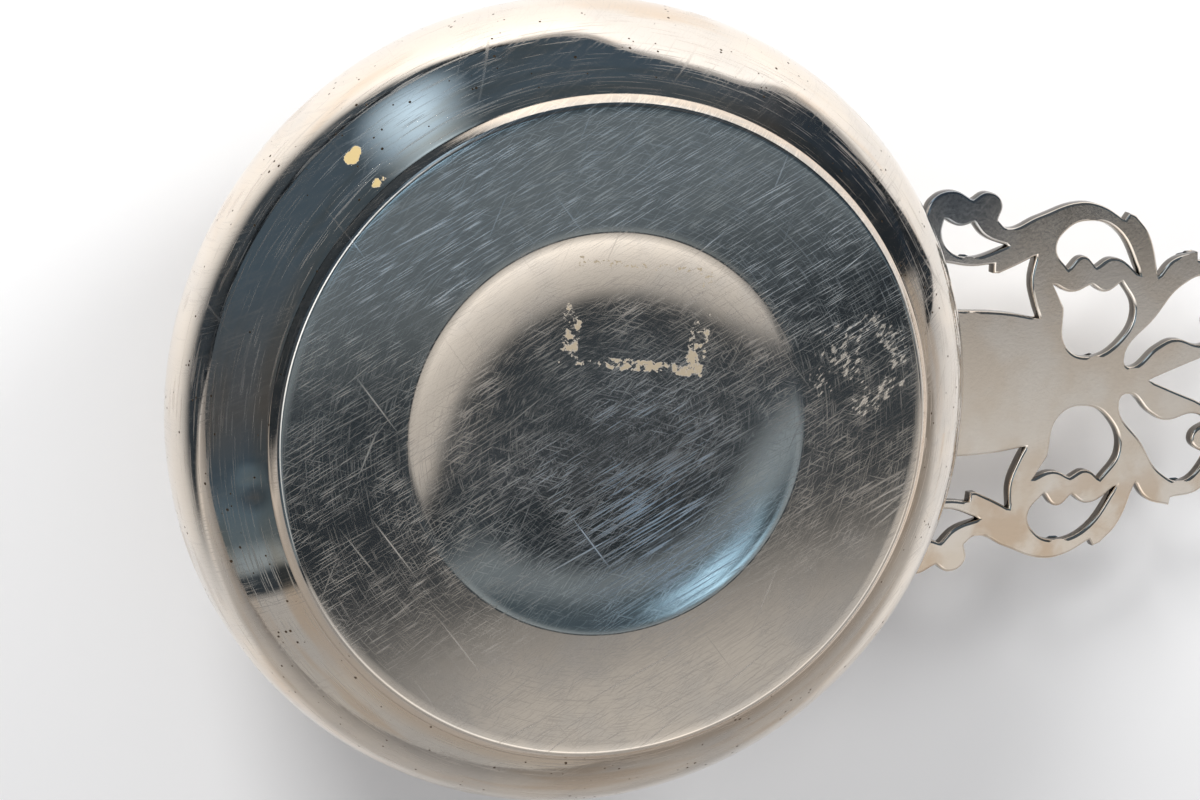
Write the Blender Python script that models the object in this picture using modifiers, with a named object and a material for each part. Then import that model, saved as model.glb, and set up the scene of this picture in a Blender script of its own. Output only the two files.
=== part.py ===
"""A silver porringer: a raised bowl with a stepped, domed foot, and a pierced handle soldered on under its lip.

Lengths are in metres. The bowl stands upright on its resting ring at z = 0, with the handle along +X, and the
origin is under the middle of the whole object.
"""

import math

import bmesh
import bpy

# Bowl
BELLY_RADIUS = 0.0665
BELLY_HEIGHT = 0.0227
BASE_RADIUS = 0.0530
BASE_EDGE_RADIUS = 0.0010
STEP_FLARE = math.radians(32)
STEP_HEIGHT = 0.0022
FOOT_FLARE = math.radians(50)
FOOT_PULL = 0.0115
BELLY_PULL = 0.0095
DOME_RADIUS = 0.0323
DOME_RISE = 0.0012
DOME_POWER = 5
NECK_RADIUS = 0.0580
SHOULDER_RISE = 0.0179
NECK_PULL = 0.0040
LIP_FLARE = 0.0012
LIP_RISE = 0.0040
SHEET_THICKNESS = 0.0008
LIP_THICKNESS = 0.0015

# Handle
HANDLE_REACH = 0.0785
HANDLE_WIDTH = 0.0684
HANDLE_THICKNESS = 0.0022
HANDLE_RISE = math.radians(9.8)

# Solder between the handle and the wall
SOLDER_THICKNESS = 0.0006
SOLDER_OVERLAP = 0.0006
CLEARANCE = 0.0003
ROOT_DEPTH = 0.003
WELD_DISTANCE = 0.00001

# Steps of the curves
TURN_STEPS = 72
DOME_STEPS = 8
EDGE_STEPS = 3
BELLY_STEPS = 7
LIP_STEPS = 3
OUTLINE_STEPS = 4

# The handle's pattern, drawn in millimetres: along from under the lip's edge, across from the middle line
PATTERN_REACH = 78.5
PATTERN_WIDTH = 68.4
PLATE_SIDE = 13.2
PAD_NEAR_SIDE = 20.8
PAD_FAR_SIDE = 28.6
ROUND = "AUTO"
CORNER = "VECTOR"

SIDE_NOTCH = [
    (17.0, 13.1, ROUND),
    (25.5, 12.7, ROUND),
    (32.5, 11.6, CORNER),
    (31.2, 14.2, ROUND),
    (29.9, 18.4, ROUND),
    (30.4, 22.8, CORNER),
    (26.8, 21.1, ROUND),
    (23.2, 19.6, CORNER),
    (22.0, 19.7, CORNER),
    (21.9, 21.3, CORNER),
    (17.6, 20.9, ROUND),
    (11.0, 21.6, ROUND),
]
CORNER_SCROLL = [
    (0.0, 28.8, ROUND),
    (7.0, 29.8, CORNER),
    (8.2, 32.6, ROUND),
    (12.2, 34.2, ROUND),
    (16.4, 32.6, CORNER),
    (19.4, 34.0, ROUND),
    (22.4, 32.1, ROUND),
    (21.9, 29.1, CORNER),
    (24.0, 27.7, ROUND),
]
FIRST_SCROLL = [
    (30.3, 29.8, ROUND),
    (38.4, 32.3, ROUND),
    (43.0, 31.8, ROUND),
    (48.3, 29.2, CORNER),
    (49.1, 30.4, CORNER),
    (50.6, 29.9, CORNER),
    (53.8, 26.6, ROUND),
    (56.7, 18.9, CORNER),
]
SECOND_SCROLL = [
    (59.4, 21.9, ROUND),
    (64.6, 23.4, CORNER),
    (64.8, 22.0, CORNER),
    (71.0, 20.6, ROUND),
    (75.4, 14.6, ROUND),
    (75.0, 10.2, CORNER),
]
TIP = [
    (77.5, 6.4, ROUND),
    (PATTERN_REACH, 0.0, ROUND),
]
CRESCENT = [
    (11.0, 29.2, CORNER),
    (10.8, 26.6, ROUND),
    (12.6, 23.8, ROUND),
    (16.8, 22.5, ROUND),
    (24.5, 24.5, CORNER),
    (19.4, 26.2, ROUND),
    (16.9, 28.6, CORNER),
    (14.2, 28.0, ROUND),
]
OUTER_EYE = [
    (34.6, 24.2, ROUND),
    (36.4, 27.4, ROUND),
    (40.2, 28.9, ROUND),
    (46.6, 27.4, ROUND),
    (52.8, 19.2, CORNER),
    (46.8, 22.4, ROUND),
    (43.3, 20.7, CORNER),
    (40.4, 22.7, ROUND),
    (37.4, 20.3, CORNER),
]
INNER_EYE = [
    (34.6, 17.6, CORNER),
    (38.8, 16.2, ROUND),
    (42.6, 17.5, CORNER),
    (45.8, 16.2, ROUND),
    (49.0, 18.0, CORNER),
    (52.3, 12.8, ROUND),
    (49.8, 7.2, ROUND),
    (44.0, 4.5, ROUND),
    (38.8, 6.4, ROUND),
    (37.4, 13.5, CORNER),
]
SIDE_WINDOW = [
    (51.4, 3.8, ROUND),
    (52.7, 2.5, ROUND),
    (58.4, 6.2, ROUND),
    (61.6, 7.5, ROUND),
    (68.0, 6.4, ROUND),
    (72.4, 8.4, CORNER),
    (70.3, 8.4, ROUND),
    (67.8, 10.9, ROUND),
    (70.3, 13.4, ROUND),
    (72.6, 13.2, CORNER),
    (67.4, 18.8, ROUND),
    (62.2, 17.3, ROUND),
    (57.2, 11.6, ROUND),
]
KEYHOLE = [
    (57.2, 0.0, CORNER),
    (67.2, 3.6, ROUND),
    (70.4, 4.6, ROUND),
    (73.5, 3.1, ROUND),
    (74.7, 0.0, ROUND),
]

NECK_HEIGHT = BELLY_HEIGHT + SHOULDER_RISE
LIP_RADIUS = NECK_RADIUS + LIP_FLARE
LIP_HEIGHT = NECK_HEIGHT + LIP_RISE
HANDLE_TIP_X = LIP_RADIUS + HANDLE_REACH * math.cos(HANDLE_RISE)
AXIS_X = (BELLY_RADIUS - HANDLE_TIP_X) / 2


def bezier(start, start_pull, end_pull, end, steps):
    """Points of a cubic curve after its start, as (radius, height)."""
    points = []
    for step in range(1, steps + 1):
        t = step / steps
        weights = ((1 - t) ** 3, 3 * t * (1 - t) ** 2, 3 * t * t * (1 - t), t**3)
        corners = (start, start_pull, end_pull, end)
        points.append(tuple(sum(w * c[axis] for w, c in zip(weights, corners)) for axis in (0, 1)))
    return points


def lower_profile():
    """The outside from the middle of the domed foot to the belly, as (radius, height)."""
    points = []
    for step in range(DOME_STEPS + 1):
        share = step / DOME_STEPS
        points.append((DOME_RADIUS * share, DOME_RISE * (1 - share**DOME_POWER)))
    for step in range(EDGE_STEPS + 1):
        turn = -math.pi / 2 + (math.pi / 2 - STEP_FLARE) * step / EDGE_STEPS
        radius = BASE_RADIUS - BASE_EDGE_RADIUS + BASE_EDGE_RADIUS * math.cos(turn)
        points.append((radius, BASE_EDGE_RADIUS + BASE_EDGE_RADIUS * math.sin(turn)))
    edge = points[-1]
    foot = (edge[0] + (STEP_HEIGHT - edge[1]) * math.tan(STEP_FLARE), STEP_HEIGHT)
    points.append(foot)
    foot_pull = (foot[0] + FOOT_PULL * math.sin(FOOT_FLARE), foot[1] + FOOT_PULL * math.cos(FOOT_FLARE))
    belly_pull = (BELLY_RADIUS, BELLY_HEIGHT - BELLY_PULL)
    return points + bezier(foot, foot_pull, belly_pull, (BELLY_RADIUS, BELLY_HEIGHT), BELLY_STEPS)


def upper_profile():
    """The outside from the belly to the lip, as (radius, height)."""
    belly = (BELLY_RADIUS, BELLY_HEIGHT)
    belly_pull = (BELLY_RADIUS, BELLY_HEIGHT + BELLY_PULL)
    neck = (NECK_RADIUS, NECK_HEIGHT)
    rise = LIP_RISE / 3
    lip = (LIP_RADIUS, LIP_HEIGHT - LIP_THICKNESS / 2)
    points = [belly] + bezier(belly, belly_pull, (NECK_RADIUS, NECK_HEIGHT - NECK_PULL), neck, BELLY_STEPS)
    neck_pull = (NECK_RADIUS, NECK_HEIGHT + rise)
    lip_pull = ((NECK_RADIUS + LIP_RADIUS) / 2, lip[1] - rise)
    return points + bezier(neck, neck_pull, lip_pull, lip, LIP_STEPS)


def offset(points, distances):
    """The points moved square to their line, to its right where a distance is positive."""
    moved = []
    for index, (point, distance) in enumerate(zip(points, distances)):
        before = points[max(index - 1, 0)]
        after = points[min(index + 1, len(points) - 1)]
        run = (after[0] - before[0], after[1] - before[1])
        length = math.hypot(*run)
        moved.append((point[0] + distance * run[1] / length, point[1] - distance * run[0] / length))
    return moved


def bowl_profile():
    """The sheet's closed section: up the inside from the axis, over the round lip and down the outside."""
    outside = lower_profile() + upper_profile()[1:]
    thicknesses = [-SHEET_THICKNESS] * len(outside)
    for step in range(LIP_STEPS + 1):
        share = step / LIP_STEPS
        thicknesses[step - LIP_STEPS - 1] -= share * (LIP_THICKNESS - SHEET_THICKNESS)
    inside = offset(outside, thicknesses)
    inside[0] = (0.0, inside[0][1])
    inner, outer = inside[-1], outside[-1]
    middle = ((inner[0] + outer[0]) / 2, (inner[1] + outer[1]) / 2)
    arm = (inner[0] - middle[0], inner[1] - middle[1])
    lip = []
    for step in range(1, LIP_STEPS + 1):
        turn = math.pi * step / (LIP_STEPS + 1)
        radius = middle[0] + arm[0] * math.cos(turn) + arm[1] * math.sin(turn)
        height = middle[1] - arm[0] * math.sin(turn) + arm[1] * math.cos(turn)
        lip.append((radius, height))
    return inside + lip + outside[::-1]


def wall_band(distance):
    """The outside above the belly, moved out by a distance, from the top down."""
    points = upper_profile()
    return offset(points, [distance] * len(points))[::-1]


def turned(name, profile, closed, parent, collection, material):
    """A body of revolution from a profile of (radius, height) points at +X."""
    mesh = bpy.data.meshes.new(name)
    edges = [(index, index + 1) for index in range(len(profile) - 1)]
    if closed:
        edges.append((len(profile) - 1, 0))
    mesh.from_pydata([(radius, 0.0, height) for radius, height in profile], edges, [])
    body = bpy.data.objects.new(name, mesh)
    collection.objects.link(body)
    body.parent = parent
    screw = body.modifiers.new("Turn", "SCREW")
    screw.axis = "Z"
    screw.steps = TURN_STEPS
    screw.render_steps = TURN_STEPS
    screw.use_merge_vertices = True
    screw.merge_threshold = WELD_DISTANCE
    screw.use_smooth_shade = True
    if material:
        mesh.materials.append(material)
    return body


def silver(name, colour, roughness):
    """Polished or worn silver with its own tone."""
    material = bpy.data.materials.new(name)
    material.use_nodes = True
    shader = material.node_tree.nodes["Principled BSDF"]
    shader.inputs["Base Color"].default_value = (*colour, 1.0)
    shader.inputs["Metallic"].default_value = 1.0
    shader.inputs["Roughness"].default_value = roughness
    return material


def root_along(across):
    """A place inside the wall, in the pattern's millimetres, at a distance across from the middle line."""
    side = across * HANDLE_WIDTH / PATTERN_WIDTH
    inset = LIP_RADIUS - math.sqrt(NECK_RADIUS**2 - side**2) + ROOT_DEPTH
    return -inset * PATTERN_REACH / HANDLE_REACH


def handle_outline():
    """The outer edge of one side: the plate, the notch beside it, the corner pad and the scrolls to the tip."""
    plate = [(root_along(PLATE_SIDE), PLATE_SIDE, CORNER)]
    pad = [
        (root_along(PAD_NEAR_SIDE), PAD_NEAR_SIDE, CORNER),
        (root_along(PAD_FAR_SIDE), PAD_FAR_SIDE, CORNER),
    ]
    return plate + SIDE_NOTCH + pad + CORNER_SCROLL + FIRST_SCROLL + SECOND_SCROLL + TIP


def mirrored(points):
    """The points of the other side, in the other direction."""
    return [(along, -across, kind) for along, across, kind in reversed(points)]


def across_middle(points):
    """A closed outline from one side of it, with the points on the middle line used once."""
    other_side = [point for point in mirrored(points) if point[1] != 0.0]
    return points + other_side


def add_outline(curve, points):
    """One closed spline of the flat curve, scaled from the pattern to the handle's size."""
    spline = curve.splines.new("BEZIER")
    spline.bezier_points.add(len(points) - 1)
    spline.use_cyclic_u = True
    for target, (along, across, kind) in zip(spline.bezier_points, points):
        target.co = (along * HANDLE_REACH / PATTERN_REACH, across * HANDLE_WIDTH / PATTERN_WIDTH, 0.0)
        target.handle_left_type = kind
        target.handle_right_type = kind


def flat_piece(name, outlines, half_thickness, frame, collection, material):
    """A flat plate in the handle's plane, as a closed mesh that a cutter can trim."""
    curve = bpy.data.curves.new(name, "CURVE")
    curve.dimensions = "2D"
    curve.fill_mode = "BOTH"
    curve.extrude = half_thickness
    curve.resolution_u = OUTLINE_STEPS
    for outline in outlines:
        add_outline(curve, outline)
    drawn = bpy.data.objects.new(name + "_drawn", curve)
    collection.objects.link(drawn)
    drawn.parent = frame
    drawn.location.z = HANDLE_THICKNESS / 2
    bpy.context.view_layer.update()
    mesh = bpy.data.meshes.new_from_object(drawn.evaluated_get(bpy.context.evaluated_depsgraph_get()))
    plate = bpy.data.objects.new(name, mesh)
    collection.objects.link(plate)
    plate.matrix_world = drawn.matrix_world
    bpy.data.objects.remove(drawn)
    welded = bmesh.new()
    welded.from_mesh(mesh)
    bmesh.ops.remove_doubles(welded, verts=welded.verts, dist=WELD_DISTANCE)
    bmesh.ops.recalc_face_normals(welded, faces=welded.faces)
    welded.to_mesh(mesh)
    welded.free()
    mesh.materials.clear()
    mesh.materials.append(material)
    return plate


def trim(body, tool, operation):
    cut = body.modifiers.new("Fit to wall", "BOOLEAN")
    cut.operation = operation
    cut.object = tool
    cut.solver = "EXACT"


def hide_tool(tool):
    tool.hide_render = True
    tool.display_type = "WIRE"


def rectangle(near_side, far_side):
    """A strip that runs through the wall, between two distances across."""
    start = root_along(max(abs(near_side), abs(far_side)))
    end = PATTERN_REACH * ROOT_DEPTH / HANDLE_REACH
    corners = ((start, near_side), (end, near_side), (end, far_side), (start, far_side))
    return [(along, across, CORNER) for along, across in corners]


def main():
    for old in list(bpy.data.objects):
        bpy.data.objects.remove(old)
    parts = bpy.data.collections.new("silver_porringer")
    tools = bpy.data.collections.new("cutters")
    bpy.context.scene.collection.children.link(parts)
    bpy.context.scene.collection.children.link(tools)

    bowl_axis = bpy.data.objects.new("bowl_axis", None)
    parts.objects.link(bowl_axis)
    bowl_axis.location.x = AXIS_X
    handle_frame = bpy.data.objects.new("handle_frame", None)
    parts.objects.link(handle_frame)
    handle_frame.parent = bowl_axis
    handle_frame.location = (LIP_RADIUS, 0.0, NECK_HEIGHT)
    handle_frame.rotation_euler.y = -HANDLE_RISE

    polished = silver("polished silver", (0.78, 0.75, 0.70), 0.15)
    cast = silver("cast silver", (0.62, 0.58, 0.53), 0.35)
    solder = silver("silver solder", (0.66, 0.62, 0.55), 0.4)
    turned("bowl", bowl_profile(), True, bowl_axis, parts, polished)

    solder_inside = CLEARANCE
    solder_outside = solder_inside + SOLDER_THICKNESS
    top = NECK_HEIGHT + HANDLE_REACH
    wall = wall_band(solder_outside + CLEARANCE)
    bowl_space = [(0.0, top), (wall[0][0], top)] + wall + [(0.0, wall[-1][1])]
    handle_cutter = turned("bowl_space", bowl_space, False, bowl_axis, tools, None)
    solder_ring = wall_band(solder_outside) + wall_band(solder_inside)[::-1]
    solder_space = turned("solder_space", solder_ring, True, bowl_axis, tools, None)
    hide_tool(handle_cutter)
    hide_tool(solder_space)

    outlines = [across_middle(handle_outline()), across_middle(KEYHOLE)]
    for hole in (CRESCENT, OUTER_EYE, INNER_EYE, SIDE_WINDOW):
        outlines += [hole, mirrored(hole)]
    handle = flat_piece("handle", outlines, HANDLE_THICKNESS / 2, handle_frame, parts, cast)
    trim(handle, handle_cutter, "DIFFERENCE")

    seams = {
        "solder_seam_centre": (-PLATE_SIDE, PLATE_SIDE),
        "solder_seam_left": (PAD_NEAR_SIDE, PAD_FAR_SIDE),
        "solder_seam_right": (-PAD_FAR_SIDE, -PAD_NEAR_SIDE),
    }
    for name, sides in seams.items():
        half_thickness = HANDLE_THICKNESS / 2 + SOLDER_OVERLAP
        seam = flat_piece(name, [rectangle(*sides)], half_thickness, handle_frame, parts, solder)
        trim(seam, solder_space, "INTERSECT")


main()
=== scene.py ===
"""The looks of a silver porringer: a scratched mirror bowl, a satin keyhole handle and their solder.

Lengths are in metres, but the handle's pattern and the places in the materials are in millimetres. The bowl
stands upright on z = 0, and the camera looks up at its underside.
"""

import math

import bmesh
import bpy
from mathutils import Euler, Matrix, Vector, noise


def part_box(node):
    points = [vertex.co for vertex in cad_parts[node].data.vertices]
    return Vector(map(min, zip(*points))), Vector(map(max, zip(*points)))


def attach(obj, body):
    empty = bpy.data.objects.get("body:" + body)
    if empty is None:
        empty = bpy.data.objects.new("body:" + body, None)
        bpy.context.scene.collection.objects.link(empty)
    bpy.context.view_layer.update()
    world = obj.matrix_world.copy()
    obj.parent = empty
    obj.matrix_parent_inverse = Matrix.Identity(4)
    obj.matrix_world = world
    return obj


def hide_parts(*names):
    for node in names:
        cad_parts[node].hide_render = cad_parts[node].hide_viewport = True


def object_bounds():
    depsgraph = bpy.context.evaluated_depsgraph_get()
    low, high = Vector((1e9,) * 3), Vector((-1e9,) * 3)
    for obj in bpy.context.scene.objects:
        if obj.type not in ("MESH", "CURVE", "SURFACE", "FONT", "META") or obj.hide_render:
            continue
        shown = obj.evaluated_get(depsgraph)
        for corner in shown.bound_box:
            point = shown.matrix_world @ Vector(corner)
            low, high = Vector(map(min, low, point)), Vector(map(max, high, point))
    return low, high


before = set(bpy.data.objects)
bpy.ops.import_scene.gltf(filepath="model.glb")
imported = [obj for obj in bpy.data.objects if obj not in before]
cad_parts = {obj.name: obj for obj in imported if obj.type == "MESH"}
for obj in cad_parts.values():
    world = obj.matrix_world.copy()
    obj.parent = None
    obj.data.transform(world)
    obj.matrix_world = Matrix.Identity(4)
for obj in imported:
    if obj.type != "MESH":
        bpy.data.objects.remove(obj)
cad_low, cad_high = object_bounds()
bowl_low, bowl_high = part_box("bowl")

MM = 0.001
AXIS_X = (bowl_low.x + bowl_high.x) / 2

# Bowl section
BELLY_RADIUS = (bowl_high.x - bowl_low.x) / 2
BELLY_HEIGHT = 0.0227
BASE_RADIUS = 0.0530
BASE_EDGE_RADIUS = 0.0010
STEP_FLARE = math.radians(32)
STEP_HEIGHT = 0.0022
STEP_ROUNDING = 0.0006
FOOT_FLARE = math.radians(55)
FOOT_PULL = 0.0115
BELLY_PULL = 0.0095
DOME_RADIUS = 0.0323
DOME_RISE = 0.0012
DOME_POWER = 5
DOME_CREASE = 0.0004
NECK_RADIUS = 0.0580
NECK_HEIGHT = 0.0406
NECK_PULL = 0.0040
LIP_RADIUS = 0.0592
LIP_HEIGHT = 0.0446
SHEET_THICKNESS = 0.0008
LIP_THICKNESS = 0.0015

# Steps of the bowl's profile and of its turn
DOME_STEPS = 28
RING_STEPS = 16
EDGE_STEPS = 8
ROUNDING_STEPS = 6
FOOT_STEPS = 30
SHOULDER_STEPS = 24
LIP_STEPS = 8
TURN_STEPS = 240
MERGE_DISTANCE = 0.00001

# Wear of the sheet: its waves by depth and by count in a metre, and dents by place, size and depth
RING_WAVE = 0.000008
WALL_WAVE = 0.000060
WAVES = 52
RIPPLES = 150
RIPPLE_SHARE = 0.3
RIPPLE_SHIFT = (7, 3, 1)
WAVY_FROM = 0.052
WAVY_FADE = 0.006
DENTS = (
    ((-0.0558, 0.0101, 0.0039), 0.0020, 0.00045),
    ((0.0020, -0.0636, 0.0115), 0.0065, 0.00080),
    ((0.0110, -0.0626, 0.0115), 0.0065, 0.00100),
    ((0.0200, -0.0604, 0.0115), 0.0065, 0.00100),
)

# Handle
HANDLE_THICKNESS = 0.0022
HANDLE_RISE = math.radians(9.8)
HANDLE_EDGE = 0.0005
EDGE_ROUND_STEPS = 3
ROOT_SINK = 0.0004
OUTLINE_STEPS = 8
WELD_DISTANCE = 0.000005
FLAT = 0.99
HANDLE_SHARP = math.radians(50)

# Solder: its section from the wall out, in millimetres, below and above the handle's faces
SOLDER_STEPS = 40
SOLDER_OVERHANG = 0.5
SOLDER_LUMPS = 0.7
SOLDER_UNEVENNESS = 0.35
SOLDER_END = 0.3
SOLDER_END_SLOPE = 6
SOLDER_SHARP = math.radians(60)
SOLDER_SECTION = (
    (-0.45, -1.00),
    (0.12, -0.50),
    (0.50, -0.18),
    (1.20, -0.02),
    (1.20, 0.02),
    (0.50, 0.18),
    (0.12, 0.50),
    (-0.45, 1.00),
)

# The handle's pattern, drawn in millimetres: along from under the lip's edge, across from the middle line
PLATE_SIDE = 13.2
PAD_NEAR_SIDE = 20.8
PAD_FAR_SIDE = 28.6
ROUND = "AUTO"
CORNER = "VECTOR"
SIDE_NOTCH = [
    (17.0, 13.1, ROUND),
    (25.5, 12.7, ROUND),
    (32.5, 11.6, CORNER),
    (31.2, 14.2, ROUND),
    (29.9, 18.4, ROUND),
    (30.4, 22.8, CORNER),
    (26.8, 21.1, ROUND),
    (23.2, 19.6, CORNER),
    (22.0, 19.7, CORNER),
    (21.9, 21.3, CORNER),
    (17.6, 20.9, ROUND),
    (11.0, 21.6, ROUND),
]
CORNER_SCROLL = [
    (0.0, 28.8, ROUND),
    (7.0, 29.8, CORNER),
    (8.2, 32.6, ROUND),
    (12.2, 34.2, ROUND),
    (16.4, 32.6, CORNER),
    (19.4, 34.0, ROUND),
    (22.4, 32.1, ROUND),
    (21.9, 29.1, CORNER),
    (24.0, 27.7, ROUND),
]
FIRST_SCROLL = [
    (30.3, 29.8, ROUND),
    (38.4, 32.3, ROUND),
    (43.0, 31.8, ROUND),
    (48.3, 29.2, CORNER),
    (49.1, 30.4, CORNER),
    (50.6, 29.9, CORNER),
    (53.8, 26.6, ROUND),
    (56.7, 18.9, CORNER),
]
SECOND_SCROLL = [
    (59.4, 21.9, ROUND),
    (64.6, 23.4, CORNER),
    (64.8, 22.0, CORNER),
    (71.0, 20.6, ROUND),
    (75.4, 14.6, ROUND),
    (75.0, 10.2, CORNER),
]
TIP = [
    (77.5, 6.4, ROUND),
    (78.5, 0.0, ROUND),
]
CRESCENT = [
    (11.0, 29.2, CORNER),
    (10.8, 26.6, ROUND),
    (12.6, 23.8, ROUND),
    (16.8, 22.5, ROUND),
    (24.5, 24.5, CORNER),
    (19.4, 26.2, ROUND),
    (16.9, 28.6, CORNER),
    (14.2, 28.0, ROUND),
]
OUTER_EYE = [
    (34.6, 24.2, ROUND),
    (36.4, 27.4, ROUND),
    (40.2, 28.9, ROUND),
    (46.6, 27.4, ROUND),
    (52.8, 19.2, CORNER),
    (46.8, 22.4, ROUND),
    (43.3, 20.7, CORNER),
    (40.4, 22.7, ROUND),
    (37.4, 20.3, CORNER),
]
INNER_EYE = [
    (34.6, 17.6, CORNER),
    (38.8, 16.2, ROUND),
    (42.6, 17.5, CORNER),
    (45.8, 16.2, ROUND),
    (49.0, 18.0, CORNER),
    (52.3, 12.8, ROUND),
    (49.8, 7.2, ROUND),
    (44.0, 4.5, ROUND),
    (38.8, 6.4, ROUND),
    (37.4, 13.5, CORNER),
]
SIDE_WINDOW = [
    (51.4, 3.8, ROUND),
    (52.7, 2.5, ROUND),
    (58.4, 6.2, ROUND),
    (61.6, 7.5, ROUND),
    (68.0, 6.4, ROUND),
    (72.4, 8.4, CORNER),
    (70.3, 8.4, ROUND),
    (67.8, 10.9, ROUND),
    (70.3, 13.4, ROUND),
    (72.6, 13.2, CORNER),
    (67.4, 18.8, ROUND),
    (62.2, 17.3, ROUND),
    (57.2, 11.6, ROUND),
]
KEYHOLE = [
    (57.2, 0.0, CORNER),
    (67.2, 3.6, ROUND),
    (70.4, 4.6, ROUND),
    (73.5, 3.1, ROUND),
    (74.7, 0.0, ROUND),
]

# Zones of the bowl by radius, and towards the sides of the picture, in millimetres: each is a soft step
DOME_EDGE = DOME_RADIUS / MM
RING_EDGE = BASE_RADIUS / MM
DOME_ZONE = (DOME_EDGE - 1.3, DOME_EDGE + 0.3)
RING_ZONE = (DOME_EDGE + 0.3, DOME_EDGE + 1.7)
WALL_ZONE = (RING_EDGE - 2.0, RING_EDGE + 2.0)
CREASE_START = (RING_EDGE - 0.4, RING_EDGE + 0.2)
CREASE_END = (RING_EDGE + 1.6, RING_EDGE + 4.0)
PICTURE_TOP = (-28.0, -8.0)
PICTURE_BOTTOM = (4.0, 16.0)
PICTURE_LEFT = (-45.0, -10.0)

# Brushed grain and scratches: degrees, length and spacing in millimetres, share, and shift of the noise
BRUSHED = ((-33, 5.0, 0.17, 0.43, 0.0), (-58, 3.4, 0.19, 0.39, 13.0), (12, 3.8, 0.20, 0.37, 26.0))
SCRATCHES = (
    (-30, 24.0, 0.5, 0.29, 0.0),
    (-41, 17.0, 0.5, 0.28, 7.0),
    (-72, 20.0, 0.6, 0.26, 14.0),
    (50, 22.0, 0.6, 0.26, 21.0),
)
TURNED = ((0, 7.0, 0.18, 0.41, 3.0), (0, 20.0, 0.40, 0.30, 3.0))
TURNED_ON_FOOT = 0.4
SMEARED = (-33, 8.0, 0.30, 0.48, 4.0)
SMEAR_PLACE = (12.0, 16.0, 1.0)
SMEAR_REACH = 26.0
# Painted reflection: the scratches tinted by a bluish light around this place on the dome, within this reach
BLUE_REFLECTION_PLACE = (6.0, 9.0, 1.0)
BLUE_REFLECTION_REACH = 29.0
MARK_EDGE = 0.16
SHIFT_ACROSS = 0.7
SMOOTH_NOISE = (1.0, 0.0)
FINE_NOISE = (1.0, 3.0)
CROSS_STROKES = 0.6
CROSS_STROKES_TOP = 0.3
GRAIN_STRENGTH = 0.9
STRAIGHT_ON_WALL = 0.8
MM_PER_RADIAN = 58.0

# Tones of the bowl: the strength of each, from 0 to 1
BROWN_SHARE = 0.7
CREASE_SHARE = 0.6
RUBBED_SHARE = 0.8
# Painted shade: its share on the ring's left side
LEFT_SHADE_SHARE = 0.75
HATCHED_SHARE = 0.42
SCRATCHED_ON_WALL = 0.3
SCRATCH_PALENESS = 0.03

# Noise in the bowl's silver: waves in a millimetre, detail and roughness. A step has its soft limits
HAZE = (0.05, 4.0, 0.6)
HAZE_STEP = (0.40, 0.66)
POLISH_STEP = (0.35, 0.70)
PATCHES = (0.10, 3.0)
PATCH_STEP = (0.34, 0.62, 0.3, 1.0)
STREAK_WAY = (0, 26.0, 3.0, 0.0)
STREAK_STEP = (0.50, 0.70)
BETWEEN_STEP = (0.0, 0.6)
PITS = 0.7
PIT_SIZE = 0.17
PIT_PATCHES = (0.22, 2.0)
PIT_PATCH_STEP = (0.46, 0.66)

# Roughness, in pairs from the clear to the hazy parts
MIRROR_ROUGHNESS = (0.055, 0.09)
WALL_POLISH = 0.55
SCRATCH_ROUGHNESS = 0.29
DULL_ROUGHNESS = 0.62
CAST_ROUGHNESS = (0.09, 0.14)
SOLDER_ROUGHNESS = (0.26, 0.42)

# Old adhesive, in millimetres from the bowl's axis, with noise and steps as above
RAGGED = (0.75, 4.0, 0.70)
GAPS = (0.20, 1.0)
GAP_STEP = (0.38, 0.58, 0.76, 1.04)
DOME_LABEL_PLACE = (3.5, -19.2, 0.0)
DOME_LABEL_SIZE = (21.0, 16.0)
DOME_LABEL_TURN = math.radians(4)
DOME_LABEL_THINNING = 1.7
LABEL_EDGE_WIDTH = (1.0, 3.4)
LABEL_EDGE_FROM = (-9.0, 2.0)
LABEL_EDGE_STEP = (0.45, 0.53)
SPECKS = (1.5, 3.0)
SPECKS_WIDTH = (0.5, 2.8)
SPECKS_TO = (-6.0, -3.0)
SPECKS_STEP = (0.54, 0.62)
RING_LABEL_PLACE = (40.5, -12.5, 0.0)
RING_LABEL_REACH = 17.0
RING_LABEL_STEP = (0.05, 0.60)
CRUMB_SHARE = 0.3
CRUMB_WAY = (-52, 1.5, 0.6, 5.0)
CRUMB_STEP = (0.52, 0.64)
WALL_SPOT_STEP = (0.04, 0.14)
WALL_SPOTS = (
    ((-42.6, -41.5, 6.8), 2.6),
    ((-42.0, -42.4, 7.0), 2.0),
    ((-39.6, -38.6, 2.5), 2.0),
    ((-38.6, -39.4, 2.5), 1.6),
)

# Tarnish of the handle and the solder, and painted shade on one corner scroll and in the pierced walls, in
# the pattern's millimetres, with noise and steps as above
# Painted shade on the corner scroll next to the bowl: its middle and reach
SHADED_CORNER = (13.0, -33.0, 0.0)
SHADED_CORNER_REACH = 19.0
BROWNED_SIDE = (4.0, 30.0)
STAINS = (0.12, 3.0)
STAIN_STEP = (0.40, 0.62)
CAST_HAZE = (0.07, 3.0)
CAST_HAZE_STEP = (0.38, 0.64)
# Painted shade in the pierced walls: the tilt that marks a wall, and the share of the shade
CUT_WALL_TILT = (0.10, 0.55)
CUT_WALL_SHADE_SHARE = 0.9
CAST_GRAIN = (1.6, 4.0, 0.65)
SOLDER_GRAIN = (1.2, 4.0, 0.6)
SOLDER_TONE_STEP = (0.35, 0.65)
GRAIN_STEP = (0.3, 0.7)
GRAIN_DEPTH = 0.0002
GRAIN_BUMP = 0.02

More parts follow.
